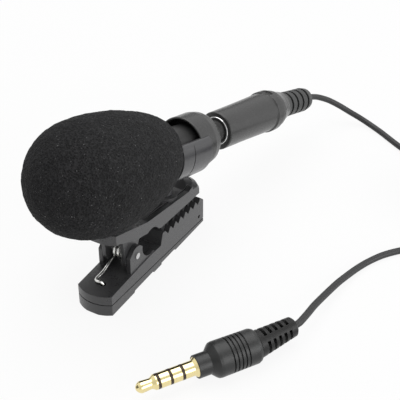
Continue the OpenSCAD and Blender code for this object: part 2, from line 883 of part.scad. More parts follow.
boot_tip = from_mic([socket_rear + socket_boot_len * cos(boot_droop), 0,
                     -socket_boot_len * sin(boot_droop)]);
boot_way = unit(boot_tip - from_mic([socket_rear, 0, 0]));
plug_way = [cos(plug_boot_bend - plug_turn), sin(plug_boot_bend - plug_turn), 0];
plug_root = [plug_x, plug_y, plug_z]
            + grip_end * [cos(plug_turn), -sin(plug_turn), 0];
plug_end = plug_root + plug_boot_len * plug_way;

// The coil as turned clockwise from its east side: how far in and how high it is at a turn
lap = coil_turns + climb_turns;
all_turns = coil_layers * coil_turns + (coil_layers - 1) * climb_turns;
function coil_at(t) =
  let (layer = min(floor(t / lap), coil_layers - 1),
       u = t - layer * lap,
       wound = min(u / coil_turns, 1),
       climb = max(u - coil_turns, 0) / climb_turns,
       r = layer % 2 == 0 ? coil_out - (coil_out - coil_in) * wound
                          : coil_in + (coil_out - coil_in) * wound)
  [coil_x + r * cos(-360 * t), coil_y + r * sin(-360 * t),
   coil_z + (layer + (1 - cos(180 * climb)) / 2) * coil_step];

coil_count = round(all_turns * coil_rings);
coil_way = [sin(-360 * all_turns), -cos(-360 * all_turns), 0];
coil_in_at = coil_at(0);
coil_out_at = coil_at(all_turns);
coil_start = coil_in_at + [0, cord_d, 0];
coil_end = coil_out_at + cord_d * coil_way;
coil_path = concat([coil_start],
                   [for (i = [0 : coil_count]) coil_at(i * all_turns / coil_count)],
                   [coil_end]);

// Least gap of the coil to itself, between points at least half a turn apart
coil_gap = min([for (i = [0 : 2 : coil_count])
  min([for (j = [0 : coil_count])
    abs(i - j) < coil_rings / 2 ? coil_out : norm(coil_path[i + 1] - coil_path[j + 1])])])
  - cord_d;
echo(coil_gap = coil_gap);

// Least gap between two turns of the spring
spring_gap = 2 * (inner_ear_y - 0.15 - wire_d / 2) / spring_turns - wire_d;
echo(spring_gap = spring_gap);

module cord_from_socket() {
  color("dimgray")
    swept(concat([boot_tip, boot_tip + cord_d * boot_way], first_run,
                 [coil_start + [0, cord_d, 0], coil_start]),
          cord_r, cord_sides, [0, 0, 1]);
}

module cord_coil() {
  color("dimgray")
    swept(coil_path, cord_r, coil_sides, [0, 0, 1]);
}

module cord_to_plug() {
  color("dimgray")
    swept(concat([coil_end, coil_end + cord_d * coil_way], last_run,
                 [plug_end + cord_d * plug_way, plug_end]),
          cord_r, cord_sides, [0, 0, 1]);
}

module coil_tie() {
  inside = coil_in - cord_r - 0.1;
  outside = coil_out + cord_r + 0.1;
  low = coil_z - cord_r + 0.05;
  high = coil_z + 3 * coil_step + cord_r - 0.05;
  color("black")
  translate([coil_x, coil_y, 0])
  difference() {
    translate([-tie_w / 2, inside - tie_t, low - tie_t])
      cube([tie_w, outside - inside + 2 * tie_t, high - low + 2 * tie_t]);
    translate([-tie_w, inside, low])
      cube([2 * tie_w, outside - inside, high - low]);
  }
}

// --- Cord plug ------------------------------------------------------------------------

module plug_grip() {
  r = grip_d / 2;
  rear_r = r - 0.1;
  pitch = 0.95;
  color("dimgray")
  plug_frame()
  difference() {
    turned([[0, grip_start - 0.35], [2.55, grip_start - 0.35], [2.65, grip_start - 0.25],
            [2.65, grip_start + 2.7], [r - 0.4, grip_start + 3.8], [r - 0.1, grip_start + 4.2],
            [r, grip_start + 4.8], [rear_r, grip_end - 1], [rear_r - 0.25, grip_end - 0.4],
            [rear_r - 0.8, grip_end], [0, grip_end]]);
    for (i = [0 : grip_grooves - 1])
      difference() {
        bar(grip_end - 3.8 - i * pitch, grip_end - 3.45 - i * pitch, r + 1);
        bar(grip_end - 5 - i * pitch, grip_end - 3 - i * pitch, r - 0.45);
      }
    bar(grip_start - 1, grip_start, 2.3 + joint_gap);
    bar(grip_start - 1, grip_end - 5, sleeve_root_r + joint_gap);
    bar(grip_end - 6, grip_end + 1, 2);
  }
}

module plug_boot() {
  pitch = 1.6;
  root_r = 3.2;
  end_r = 2.35;
  color("dimgray")
  translate(plug_root)
  rotate([0, 0, plug_boot_bend - plug_turn])
  difference() {
    union() {
      difference() {
        turned([[0, -1], [root_r + 0.1, -1], [root_r, 0.3], [end_r, plug_boot_len - 0.4],
                [end_r - 0.4, plug_boot_len], [0, plug_boot_len]]);
        rotate([0, 0, -plug_boot_bend])
          translate([-5, -5, -5])
            cube([5, 10, 10]);
      }
      rotate([0, 0, -plug_boot_bend])
        bar(-1.6, 0.4, 1.7);
    }
    // Two rows of slots that leave a spine on each side
    rotate([-54, 0, 0])
      for (i = [0 : 4])
        for (side = [-1, 1])
          difference() {
            translate([1.6 + i * pitch - 0.4, -4, side > 0 ? 0.7 : -4.7])
              cube([0.8, 8, 4]);
            bar(0, plug_boot_len, cord_r + 0.45);
          }
    bar(-2, 1, 1);
  }
}

module plug_sleeve() {
  flange = shaft_len + 0.35;
  color("gold")
  plug_frame()
  union() {
    shaft_sleeve(0, 1, 4, grip_end - 5.5);
    difference() {
      turned([[0, shaft_len - 0.6], [shaft_r, shaft_len - 0.6], [2.3, flange - 0.25], [2.3, flange],
              [0, flange]]);
      bar(shaft_len - 2, flange + 1, shell_in);
    }
  }
}

module plug_insulator() {
  color("black")
  plug_frame()
    shaft_insulator(0, 1, 4, grip_end - 4.5);
}

module plug_ring_1() {
  color("gold")
  plug_frame()
    shaft_ring(0, 1, 1);
}

module plug_ring_2() {
  color("gold")
  plug_frame()
    shaft_ring(0, 1, 2);
}

module plug_tip() {
  color("gold")
  plug_frame()
    shaft_tip(0, 1, grip_end - 4.5);
}

// --- Nodes ----------------------------------------------------------------------------

foam_windscreen();
capsule_grille();
mic_capsule();
capsule_tube();
mic_body();
mic_plug_sleeve();
mic_plug_insulator();
mic_plug_ring();
mic_plug_tip();
mic_holder();
swivel_rivet();
upper_jaw();
lower_jaw();
hinge_pin();
torsion_spring();
socket_barrel();
socket_bushing();
socket_core();
contact_sleeve();
contact_ring();
contact_tip();
socket_boot();
cord_from_socket();
cord_coil();
coil_tie();
cord_to_plug();
plug_boot();
plug_grip();
plug_insulator();
plug_sleeve();
plug_ring_1();
plug_ring_2();
plug_tip();
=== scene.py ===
# %% [markdown]
# # A clip-on lavalier microphone
# The microphone lies on a pale table: a foam windscreen on a thin tube, a sprung clip that
# holds the tube in a turning saddle, and an extension lead with a socket and a jack plug.
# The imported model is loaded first. It holds every rigid piece at its true size, and what
# follows gives those pieces their finish and builds the ones that give: the foam, the cord
# with its tie, and the spring.

# %% Load the frame
import json
import math

import bmesh
import bpy
from mathutils import Matrix, Vector, noise

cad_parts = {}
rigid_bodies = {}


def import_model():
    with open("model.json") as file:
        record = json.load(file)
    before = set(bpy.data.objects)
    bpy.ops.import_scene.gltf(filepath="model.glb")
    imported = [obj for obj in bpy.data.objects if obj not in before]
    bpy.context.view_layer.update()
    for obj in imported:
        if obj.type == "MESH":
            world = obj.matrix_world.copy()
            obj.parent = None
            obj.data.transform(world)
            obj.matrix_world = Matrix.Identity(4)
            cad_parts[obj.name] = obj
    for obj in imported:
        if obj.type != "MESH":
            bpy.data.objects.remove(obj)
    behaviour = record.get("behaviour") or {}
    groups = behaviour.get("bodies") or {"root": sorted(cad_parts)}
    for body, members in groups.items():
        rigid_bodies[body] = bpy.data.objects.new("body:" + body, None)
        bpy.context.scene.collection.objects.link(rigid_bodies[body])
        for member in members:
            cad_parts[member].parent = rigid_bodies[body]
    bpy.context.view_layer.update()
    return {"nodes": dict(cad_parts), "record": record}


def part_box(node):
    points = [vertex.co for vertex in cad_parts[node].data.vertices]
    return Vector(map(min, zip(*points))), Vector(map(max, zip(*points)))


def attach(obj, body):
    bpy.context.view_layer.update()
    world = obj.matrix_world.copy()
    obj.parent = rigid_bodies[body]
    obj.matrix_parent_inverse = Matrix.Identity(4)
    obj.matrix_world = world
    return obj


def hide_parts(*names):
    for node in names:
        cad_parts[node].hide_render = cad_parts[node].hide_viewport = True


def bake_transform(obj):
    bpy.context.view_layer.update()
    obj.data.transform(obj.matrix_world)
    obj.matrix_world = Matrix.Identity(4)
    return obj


for leftover in list(bpy.data.objects):
    bpy.data.objects.remove(leftover)
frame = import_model()
scene = bpy.context.scene
nodes = frame["nodes"]
print("nodes:", len(nodes))

# %% [markdown]
# ## Millimetres
# The part's sizes are known in millimetres and Blender's unit here is the metre. One small
# helper turns a point in millimetres into a Blender vector, so that each size below can be
# read as a maker would write it.

# %% Millimetres to metres
MM = 0.001


def mm(x, y, z):
    """A point or a size in millimetres, as a vector in metres."""
    return Vector((x, y, z)) * MM


print("one centimetre is", mm(10, 0, 0).length, "m")

# %% [markdown]
# ## Where the microphone and the plug point
# The microphone is held in a tilted saddle, and the plug lies turned on the table. Each has
# its own straight axis. The microphone's pieces are easiest to build along X and carried over
# with a matrix, and the plug only needs the angle it is turned by. Matrices multiply from
# right to left: turn first, then move.

# %% The microphone's frame and the plug's turn
POST = mm(11.3, 0, 26.2)
TILT = math.radians(11.5)
YAW = math.radians(8.5)
PLUG_TURN = math.radians(-33)

mic_frame = (Matrix.Translation(POST) @ Matrix.Rotation(TILT, 4, "Y")
             @ Matrix.Rotation(-YAW, 4, "Z"))
print("the microphone points along", [round(c, 3) for c in mic_frame.to_3x3().col[0]])

# %% [markdown]
# ## Camera
# A small product is shot from a little above with a long lens, so that it keeps its
# proportions. The camera is placed by its position and aimed at a point on the table, and
# the lens is given for a sensor 36 mm wide. A track quaternion turns the camera's own -Z
# axis on to the line of sight with no roll.

# %% Camera
CAMERA_AT = mm(-163.1, -110.2, 160.9)
AIM = mm(29.3, 0.6, 0)
LENS, SENSOR = 91.02, 36


def add(name, data):
    """A new object that carries the data, linked to the scene."""
    made = bpy.data.objects.new(name, data)
    scene.collection.objects.link(made)
    return made


lens = bpy.data.cameras.new("camera")
lens.sensor_width = SENSOR
lens.lens = LENS
lens.clip_start = 0.01
lens.clip_end = 10
camera = add("camera", lens)
camera.location = CAMERA_AT
camera.rotation_euler = (AIM - CAMERA_AT).to_track_quat("-Z", "Y").to_euler()
scene.camera = camera
print("camera is", round((AIM - CAMERA_AT).length * 1000), "mm from its aim")

# %% [markdown]
# ## Shader nodes
# A material or a world in Blender is a tree of nodes, and writing one out takes two acts over
# and over: place a node with its values, and wire one node's output to another's input. The
# first helpers keep those to a line each. The last one tells which rays are looked at
# directly: those from the camera, and those that a shiny or clear surface sends on. Light
# Path, which knows this, can't go in a node group, so a plain function places it.

# %% Helpers for shader nodes
def place(tree, kind, inputs=None, **settings):
    """A new shader node with its settings and the values of its unlinked inputs."""
    made = tree.nodes.new("ShaderNode" + kind)
    for key, value in settings.items():
        setattr(made, key, value)
    for key, value in (inputs or {}).items():
        made.inputs[key].default_value = value
    return made


def wire(tree, source, out, target, into):
    """Links one node's output to another's input."""
    tree.links.new(source.outputs[out], target.inputs[into])


def blank_material(name):
    """An empty node material and its output node."""
    material = bpy.data.materials.new(name)
    material.use_nodes = True
    material.node_tree.nodes.clear()
    return material, place(material.node_tree, "OutputMaterial")


def looked_at(tree):
    """A node that gives 1 for camera, mirror and glass rays, and 0 for all others."""
    rays = place(tree, "LightPath")
    either = place(tree, "Math", operation="MAXIMUM")
    every = place(tree, "Math", operation="MAXIMUM")
    wire(tree, rays, "Is Camera Ray", either, 0)
    wire(tree, rays, "Is Glossy Ray", either, 1)
    wire(tree, either, 0, every, 0)
    wire(tree, rays, "Is Transmission Ray", every, 1)
    return every


print("helpers:", ", ".join(f.__name__ for f in (place, wire, blank_material, looked_at)))

# %% [markdown]
# ## Table
# A white studio sweep can be one large plane. Its colour is nearly white, so it throws soft
# light back on to the underside of the microphone as a real table would. What the camera and
# mirror-like surfaces see of it is mixed with plain white, which fades the shadow without
# casting any more light on matt surfaces. Far from the object the white takes over
# altogether, so that the table's far edge doesn't show.

# %% Table
TABLE_SIZE = 3.0
TABLE_WHITE = (0.86, 0.86, 0.86, 1)
SEEN_WHITE = 0.9
FADE_FROM, FADE_TO = 0.25, 0.7

table, out = blank_material("pale_table")
tree = table.node_tree
paint = place(tree, "BsdfDiffuse", {"Color": TABLE_WHITE})
glow = place(tree, "Emission", {"Color": (1, 1, 1, 1), "Strength": 1.0})
direct = looked_at(tree)
where = place(tree, "NewGeometry")
away = place(tree, "VectorMath", operation="LENGTH")
share = place(tree, "MapRange", {"From Min": FADE_FROM, "From Max": FADE_TO,
                                 "To Min": SEEN_WHITE, "To Max": 1.0})
seen = place(tree, "Math", operation="MULTIPLY")
blend = place(tree, "MixShader")
wire(tree, where, "Position", away, 0)
wire(tree, away, "Value", share, "Value")
wire(tree, direct, 0, seen, 0)
wire(tree, share, "Result", seen, 1)
wire(tree, seen, 0, blend, 0)
wire(tree, paint, 0, blend, 1)
wire(tree, glow, 0, blend, 2)
wire(tree, blend, 0, out, "Surface")

half = TABLE_SIZE / 2
mesh = bpy.data.meshes.new("table")
mesh.from_pydata([(-half, -half, 0), (half, -half, 0), (half, half, 0), (-half, half, 0)],
                 [], [(0, 1, 2, 3)])
mesh.materials.append(table)
floor = add("table", mesh)
print("the table is", TABLE_SIZE, "m wide")

# %% [markdown]
# ## World
# Black plastic shows its form only by what it mirrors, so the object stands in a white tent.
# Mirror-like surfaces see the world as white, apart from two darker parts: a flag low down on
# one side, as a photographer would put up to draw a dark edge, and the dimmer room behind the
# camera. The camera itself sees plain white everywhere. Matt surfaces get less light from the
# world, which leaves room for the lamps.

# %% World
WORLD_FILL = 0.3
FLAG_GREY = 0.12
FLAG_HEIGHT = (0.1, 0.34)
FLAG_SIDE = (0.35, 0.0)
ROOM_GREY = 0.75
ROOM_EDGE = (0.5, 0.95)
ROOM_WAY = tuple((CAMERA_AT - AIM).normalized())

world = bpy.data.worlds.new("studio")
scene.world = world
world.use_nodes = True
tree = world.node_tree
tree.nodes.clear()
sky = place(tree, "Background", {"Color": (1, 1, 1, 1), "Strength": WORLD_FILL})
backdrop = place(tree, "Background", {"Color": (1, 1, 1, 1)})
where = place(tree, "TexCoord")
split = place(tree, "SeparateXYZ")
above = place(tree, "MapRange", {"From Min": FLAG_HEIGHT[0], "From Max": FLAG_HEIGHT[1]},
              interpolation_type="SMOOTHSTEP")
aside = place(tree, "MapRange", {"From Min": FLAG_SIDE[0], "From Max": FLAG_SIDE[1]})
clear = place(tree, "Math", operation="MAXIMUM")
flags = place(tree, "MapRange", {"To Min": FLAG_GREY, "To Max": 1.0})
towards = place(tree, "VectorMath", {1: ROOM_WAY}, operation="DOT_PRODUCT")
room = place(tree, "MapRange", {"From Min": ROOM_EDGE[0], "From Max": ROOM_EDGE[1],
                                "To Min": 1.0, "To Max": ROOM_GREY},
             interpolation_type="SMOOTHSTEP")
mirrored = place(tree, "Math", operation="MULTIPLY")
rays = place(tree, "LightPath")
shown = place(tree, "Math", operation="MAXIMUM")
blend = place(tree, "MixShader")
out = place(tree, "OutputWorld")
wire(tree, where, "Generated", split, "Vector")
wire(tree, split, "Z", above, "Value")
wire(tree, split, "Y", aside, "Value")
wire(tree, above, "Result", clear, 0)
wire(tree, aside, "Result", clear, 1)
wire(tree, clear, 0, flags, "Value")
wire(tree, where, "Generated", towards, 0)
wire(tree, towards, "Value", room, "Value")
wire(tree, flags, "Result", mirrored, 0)
wire(tree, room, "Result", mirrored, 1)
wire(tree, mirrored, 0, shown, 0)
wire(tree, rays, "Is Camera Ray", shown, 1)
wire(tree, shown, 0, backdrop, "Strength")
wire(tree, looked_at(tree), 0, blend, 0)
wire(tree, sky, 0, blend, 1)
wire(tree, backdrop, 0, blend, 2)
wire(tree, blend, 0, out, "Surface")
scene.view_settings.view_transform = "Standard"
print("world fill:", WORLD_FILL)

# %% [markdown]
# ## Lamps
# Two soft boxes do the rest. The larger one hangs above and a little behind, and lays a pale
# sheen on every upper edge. The second stands low on the right and lights the sides that face
# it. Both are large for such a small object, so that their reflections have soft edges.

# %% Lamps
def soft_lamp(name, at, aim, wide, tall, watts):
    """A soft box at one point, turned to another."""
    data = bpy.data.lights.new(name, "AREA")
    data.shape = "RECTANGLE"
    data.size = wide
    data.size_y = tall
    data.energy = watts
    lamp = add(name, data)
    lamp.location = at
    lamp.rotation_euler = (aim - at).to_track_quat("-Z", "Y").to_euler()


MIDDLE = mm(20, -15, 10)
soft_lamp("top_box", mm(120, 120, 700), MIDDLE, wide=0.8, tall=0.8, watts=4.2)
soft_lamp("right_box", mm(0, -640, 230), MIDDLE, wide=0.9, tall=0.38, watts=3.2)

# %% [markdown]
# ## Shared surface effects
# Real moulded plastic is never one flat colour. The mould leaves a fine spark-eroded grain,
# the edges that hands touch turn pale and shiny, and dust settles on top. More than one
# finish here needs each of these, so each is a node group with named inputs, placed in a
# material with its own values. A group puts out masks and normals only. The shader itself
# stays in the material, where it can be changed by eye.

# %% A helper for groups
def effect(name, inputs, outputs):
    """A shader node group with its interface, and its input and output nodes."""
    group = bpy.data.node_groups.new(name, "ShaderNodeTree")
    for label, value in inputs:
        kind = "NodeSocketVector" if isinstance(value, tuple) else "NodeSocketFloat"
        socket = group.interface.new_socket(label, in_out="INPUT", socket_type=kind)
        socket.default_value = value
    for label, kind in outputs:
        group.interface.new_socket(label, in_out="OUTPUT", socket_type="NodeSocket" + kind)
    return group, group.nodes.new("NodeGroupInput"), group.nodes.new("NodeGroupOutput")


def use(tree, group, inputs=None):
    """One placed copy of an effect, with its own values."""
    made = tree.nodes.new("ShaderNodeGroup")
    made.node_tree = group
    for key, value in (inputs or {}).items():
        made.inputs[key].default_value = value
    return made


print("helpers:", effect.__name__, "and", use.__name__)

# %% [markdown]
# ## Moulded grain
# A fine noise gives the grain its bumps, and a coarser one the clouds that a mould leaves in
# the shade. No mould leaves a knife edge either, so the bumps start from a Bevel node's
# normal, which eases each edge by a hair and gives the thin light line that a real casing
# shows. A bevel modifier would cut real edges, but these pieces come as loose triangles with
# their normals fixed, and it would shade them in streaks.

# %% Moulded grain
grain, into, out = effect("moulded_grain",
                          [("Fineness", 5000), ("Depth", 0.5), ("Cloudiness", 0.5)],
                          [("Shade", "Float"), ("Normal", "Vector")])
where = place(grain, "TexCoord")
fine = place(grain, "TexNoise", {"Detail": 2.0, "Roughness": 0.6})
clouds = place(grain, "TexNoise", {"Scale": 260.0, "Detail": 4.0, "Roughness": 0.6})
bump = place(grain, "Bump", {"Distance": 0.00008})
eased = place(grain, "Bevel", {"Radius": 0.00014}, samples=4)
mix = place(grain, "Mix", data_type="FLOAT")
wire(grain, eased, "Normal", bump, "Normal")
wire(grain, where, "Object", fine, "Vector")
wire(grain, where, "Object", clouds, "Vector")
wire(grain, into, "Fineness", fine, "Scale")
wire(grain, into, "Depth", bump, "Strength")
wire(grain, fine, "Fac", bump, "Height")
wire(grain, into, "Cloudiness", mix, "Factor")
wire(grain, fine, "Fac", mix, "A")
wire(grain, clouds, "Fac", mix, "B")
wire(grain, mix, "Result", out, "Shade")
wire(grain, bump, "Normal", out, "Normal")
print("effect:", grain.name)

# %% [markdown]
# ## Rubbed edges
# To find an edge, the shader compares the true normal with the one a rounded edge would
# have. Where the two differ, the surface turns sharply, and there the colour is rubbed
# paler. A noise breaks the line up, because wear is never even.

# %% Rubbed edges
rubbed, into, out = effect("rubbed_edges", [("Width", 0.00025), ("Amount", 0.5)],
                           [("Mask", "Float")])
where = place(rubbed, "TexCoord")
soft = place(rubbed, "Bevel", samples=6)
true = place(rubbed, "NewGeometry")
turn = place(rubbed, "VectorMath", operation="DOT_PRODUCT")
sharp = place(rubbed, "MapRange", {"From Min": 0.995, "From Max": 0.86})
patchy = place(rubbed, "TexNoise", {"Scale": 900.0, "Detail": 4.0})
broken = place(rubbed, "MapRange", {"From Min": 0.35, "From Max": 0.65})
both = place(rubbed, "Math", operation="MULTIPLY")
final = place(rubbed, "Math", operation="MULTIPLY")
wire(rubbed, into, "Width", soft, "Radius")
wire(rubbed, soft, "Normal", turn, 0)
wire(rubbed, true, "Normal", turn, 1)
wire(rubbed, turn, "Value", sharp, "Value")
wire(rubbed, where, "Object", patchy, "Vector")
wire(rubbed, patchy, "Fac", broken, "Value")
wire(rubbed, sharp, "Result", both, 0)
wire(rubbed, broken, "Result", both, 1)
wire(rubbed, both, 0, final, 0)
wire(rubbed, into, "Amount", final, 1)
wire(rubbed, final, 0, out, "Mask")
print("effect:", rubbed.name)

# %% [markdown]
# ## Settled dust
# Dust lies on what faces up. The normal's Z says how far a surface does. A noise gives the
# thin film, and the cells of a Voronoi pattern a few larger specks in it.

# %% Settled dust
dust, into, out = effect("settled_dust", [("Amount", 0.3)], [("Mask", "Float")])
where = place(dust, "TexCoord")
true = place(dust, "NewGeometry")
split = place(dust, "SeparateXYZ")
facing = place(dust, "MapRange", {"From Min": 0.1, "From Max": 0.9})
film = place(dust, "TexNoise", {"Scale": 420.0, "Detail": 5.0, "Roughness": 0.7})
specks = place(dust, "TexVoronoi", {"Scale": 700.0})
spot = place(dust, "MapRange", {"From Min": 0.13, "From Max": 0.07})
sum_up = place(dust, "Math", operation="MAXIMUM")
lies = place(dust, "Math", operation="MULTIPLY")
final = place(dust, "Math", operation="MULTIPLY")
wire(dust, true, "Normal", split, "Vector")
wire(dust, split, "Z", facing, "Value")
wire(dust, where, "Object", film, "Vector")
wire(dust, where, "Object", specks, "Vector")
wire(dust, specks, "Distance", spot, "Value")
wire(dust, film, "Fac", sum_up, 0)
wire(dust, spot, "Result", sum_up, 1)
wire(dust, sum_up, 0, lies, 0)
wire(dust, facing, "Result", lies, 1)
wire(dust, lies, 0, final, 0)
wire(dust, into, "Amount", final, 1)
wire(dust, final, 0, out, "Mask")
print("effect:", dust.name)

# %% [markdown]
# ## Lathe lines
# A jack plug's poles are turned on a lathe, which leaves fine rings round the axis, and a
# drawn wire has the same lines along it. Noise that is stretched across the axis gives such
# lines. The material says which way the axis points with a Mapping node, and the group
# turns the stretched noise into a normal and a shade.

# %% Lathe lines
lathe, into, out = effect("lathe_lines",
                          [("Place", (0.0, 0.0, 0.0)), ("Fineness", 9000), ("Depth", 0.3)],
                          [("Shade", "Float"), ("Normal", "Vector")])
squeeze = place(lathe, "VectorMath", {1: (1.0, 0.015, 0.015)}, operation="MULTIPLY")
lines = place(lathe, "TexNoise", {"Detail": 3.0, "Roughness": 0.7})
bump = place(lathe, "Bump", {"Distance": 0.00002})
wire(lathe, into, "Place", squeeze, 0)
wire(lathe, squeeze, "Vector", lines, "Vector")
wire(lathe, into, "Fineness", lines, "Scale")
wire(lathe, into, "Depth", bump, "Strength")
wire(lathe, lines, "Fac", bump, "Height")
wire(lathe, lines, "Fac", out, "Shade")
wire(lathe, bump, "Normal", out, "Normal")
print("effect:", lathe.name)

# %% [markdown]
# ## Plastics
# A moulded casing is two close shades of one colour, duller where it is paler, rubbed at the
# edges and dusty on top. Mix nodes lay one colour over another by a mask. Such a node has
# sockets for each kind of data under the same names, so its colours are reached by number.

# %% Colours laid over each other
MIX_A, MIX_B, MIX_OUT = 6, 7, 2
WORN = (0.2, 0.2, 0.2)
DUST = (0.32, 0.31, 0.3)


def shaded(tree, low, high, source, out):
    """A colour that runs from low to high with a mask."""
    mix = place(tree, "Mix", {MIX_A: (*low, 1), MIX_B: (*high, 1)}, data_type="RGBA")
    wire(tree, source, out, mix, 0)
    return mix


def over(tree, under, colour, mask, mask_out):
    """A plain colour laid over a mixed one by a mask."""
    mix = place(tree, "Mix", {MIX_B: (*colour, 1)}, data_type="RGBA")
    wire(tree, mask, mask_out, mix, 0)
    wire(tree, under, MIX_OUT, mix, MIX_A)
    return mix


print("helpers:", shaded.__name__, "and", over.__name__)

# %% [markdown]
# ## One function for every plastic
# The plastics differ only in how much of each effect they have, so one function builds them
# all from the three effects. Its material keeps the shader outside the groups.

# %% A moulded plastic
def moulded(name, dark, light, gloss, fineness, depth, wear, dusty, ior=1.5):
    """Moulded plastic: two shades, smooth and dull roughness, grain, worn edges and dust."""
    material, out = blank_material(name)
    tree = material.node_tree
    shader = place(tree, "BsdfPrincipled", {"IOR": ior})
    skin = use(tree, grain, {"Fineness": fineness, "Depth": depth, "Cloudiness": 0.55})
    edge = use(tree, rubbed, {"Width": 0.0002, "Amount": wear})
    film = use(tree, dust, {"Amount": dusty})
    base = shaded(tree, dark, light, skin, "Shade")
    worn = over(tree, base, WORN, edge, "Mask")
    dulled = over(tree, worn, DUST, film, "Mask")
    dull = place(tree, "MapRange", {"From Min": 0.3, "From Max": 0.7,
                                    "To Min": gloss[0], "To Max": gloss[1]})
    wire(tree, dulled, MIX_OUT, shader, "Base Color")
    wire(tree, skin, "Shade", dull, "Value")
    wire(tree, dull, "Result", shader, "Roughness")
    wire(tree, skin, "Normal", shader, "Normal")
    wire(tree, shader, "BSDF", out, "Surface")
    return material


print("helper:", moulded.__name__)

# %% [markdown]
# ## The plastics of this object
# All the casings are black or charcoal, but not the same: the clip is a dry, grained nylon,
# the saddle is a little bluer and smoother, the body and the socket are satin, and the plug's
# grip and its strain relief are deeper blacks. The names on the left are the material slots
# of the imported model, apart from grip_plastic and boot_rubber, which only the plug has.

# %% The plastics
finish = {
    "jaw_plastic": moulded(
        "grained_nylon", (0.032, 0.032, 0.0335), (0.048, 0.048, 0.05), gloss=(0.24, 0.36),
        fineness=4200, depth=0.5, wear=0.4, dusty=0.02),
    "holder_plastic": moulded(
        "saddle_plastic", (0.036, 0.036, 0.0385), (0.05, 0.05, 0.0535), gloss=(0.2, 0.28),
        fineness=6500, depth=0.15, wear=0.15, dusty=0.02, ior=1.6),
    "charcoal_plastic": moulded(
        "satin_charcoal", (0.031, 0.031, 0.031), (0.043, 0.043, 0.043), gloss=(0.2, 0.32),
        fineness=6500, depth=0.15, wear=0.3, dusty=0.02),
    "black_plastic": moulded(
        "black_acetal", (0.008, 0.008, 0.008), (0.013, 0.013, 0.013), gloss=(0.4, 0.55),
        fineness=6000, depth=0.3, wear=0.15, dusty=0.01),
    "grip_plastic": moulded(
        "grip_black", (0.01, 0.0105, 0.0105), (0.02, 0.021, 0.021), gloss=(0.32, 0.44),
        fineness=5200, depth=0.25, wear=0.25, dusty=0.02, ior=1.44),
    "boot_rubber": moulded(
        "boot_black", (0.005, 0.005, 0.005), (0.01, 0.01, 0.01), gloss=(0.32, 0.44),
        fineness=4800, depth=0.3, wear=0.15, dusty=0.02, ior=1.34),
    "soft_plastic": moulded(
        "soft_relief", (0.02, 0.021, 0.021), (0.032, 0.033, 0.033), gloss=(0.38, 0.5),
        fineness=4200, depth=0.4, wear=0.15, dusty=0.03),
    "insulator": moulded(
        "plug_insulator", (0.026, 0.013, 0.007), (0.04, 0.022, 0.012), gloss=(0.3, 0.42),
        fineness=7000, depth=0.2, wear=0.1, dusty=0.0, ior=1.4),
}
print("plastics:", ", ".join(finish))

# %% [markdown]
# ## Metals
# The plug is gold over nickel, the socket's bushing is chrome, and the spring is drawn steel.
# A metal's colour is its mirror colour, so the shade moves little and the lines of the lathe
# or the die do the work. Fingers leave duller patches, which a second noise adds to the
# roughness.

# %% A turned or drawn metal
def bright(name, low, high, gloss, turn, fineness, depth):
    """Bare metal with fine lines across the X axis of the turned coordinates."""
    material, out = blank_material(name)
    tree = material.node_tree
    shader = place(tree, "BsdfPrincipled", {"Metallic": 1.0})
    where = place(tree, "TexCoord")
    turned = place(tree, "Mapping", {"Rotation": turn}, vector_type="POINT")
    lines = use(tree, lathe, {"Fineness": fineness, "Depth": depth})
    touched = place(tree, "TexNoise", {"Scale": 500.0, "Detail": 3.0})
    both = place(tree, "Mix", {"Factor": 0.5}, data_type="FLOAT")
    dull = place(tree, "MapRange", {"From Min": 0.3, "From Max": 0.7,
                                    "To Min": gloss[0], "To Max": gloss[1]})
    base = shaded(tree, low, high, lines, "Shade")
    wire(tree, where, "Object", turned, "Vector")
    wire(tree, turned, "Vector", lines, "Place")
    wire(tree, where, "Object", touched, "Vector")
    wire(tree, touched, "Fac", both, "A")
    wire(tree, lines, "Shade", both, "B")
    wire(tree, both, "Result", dull, "Value")
    wire(tree, base, MIX_OUT, shader, "Base Color")
    wire(tree, dull, "Result", shader, "Roughness")
    wire(tree, lines, "Normal", shader, "Normal")
    wire(tree, shader, "BSDF", out, "Surface")
    return material


print("helper:", bright.__name__)

# %% [markdown]
# ## The metals of this object
# The lines of a turned piece run round it, so the coordinates of the gold, the chrome and the
# brass are turned into their own piece's frame. The spring's wire runs mostly along the clip,
# and the drawing lines with it, so its coordinates are turned by a quarter.

# %% The metals
ALONG_MIC = (0, -TILT, YAW)
metals = {
    "gold_plate": bright(
        "gold_plate", (0.72, 0.59, 0.29), (0.95, 0.84, 0.46), gloss=(0.08, 0.16),
        turn=(0, 0, -PLUG_TURN), fineness=9000, depth=0.25),
    "chrome": bright(
        "bushing_chrome", (0.72, 0.72, 0.73), (0.86, 0.86, 0.86), gloss=(0.08, 0.18),
        turn=ALONG_MIC, fineness=9000, depth=0.15),
    "steel": bright(
        "satin_steel", (0.5, 0.5, 0.5), (0.68, 0.68, 0.68), gloss=(0.25, 0.4),
        turn=(0, 0, 0), fineness=7000, depth=0.3),
    "spring_steel": bright(
        "drawn_wire", (0.62, 0.62, 0.6), (0.8, 0.8, 0.78), gloss=(0.18, 0.3),
        turn=(0, 0, math.radians(90)), fineness=7000, depth=0.3),
    "brass": bright(
        "capsule_brass", (0.4, 0.3, 0.12), (0.6, 0.46, 0.2), gloss=(0.3, 0.45),
        turn=ALONG_MIC, fineness=6000, depth=0.3),
}
finish.update(metals)
print("metals:", ", ".join(metals))

# %% [markdown]
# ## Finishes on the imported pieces
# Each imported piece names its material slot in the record, and the finish of that name goes on
# it. The plug's grip and its strain relief are a deeper black than the other pieces of their
# slots, so those two get finishes of their own.

# %% Finishes for the carried-over pieces
slot_of = {row["node"]: row["material_slot"] for row in frame["record"]["subparts"]}


def dress(name, material):
    """Gives every material slot of a piece the same finish."""
    piece = nodes[name]
    if not piece.material_slots:
        piece.data.materials.append(material)
    for holder in piece.material_slots:
        holder.material = material


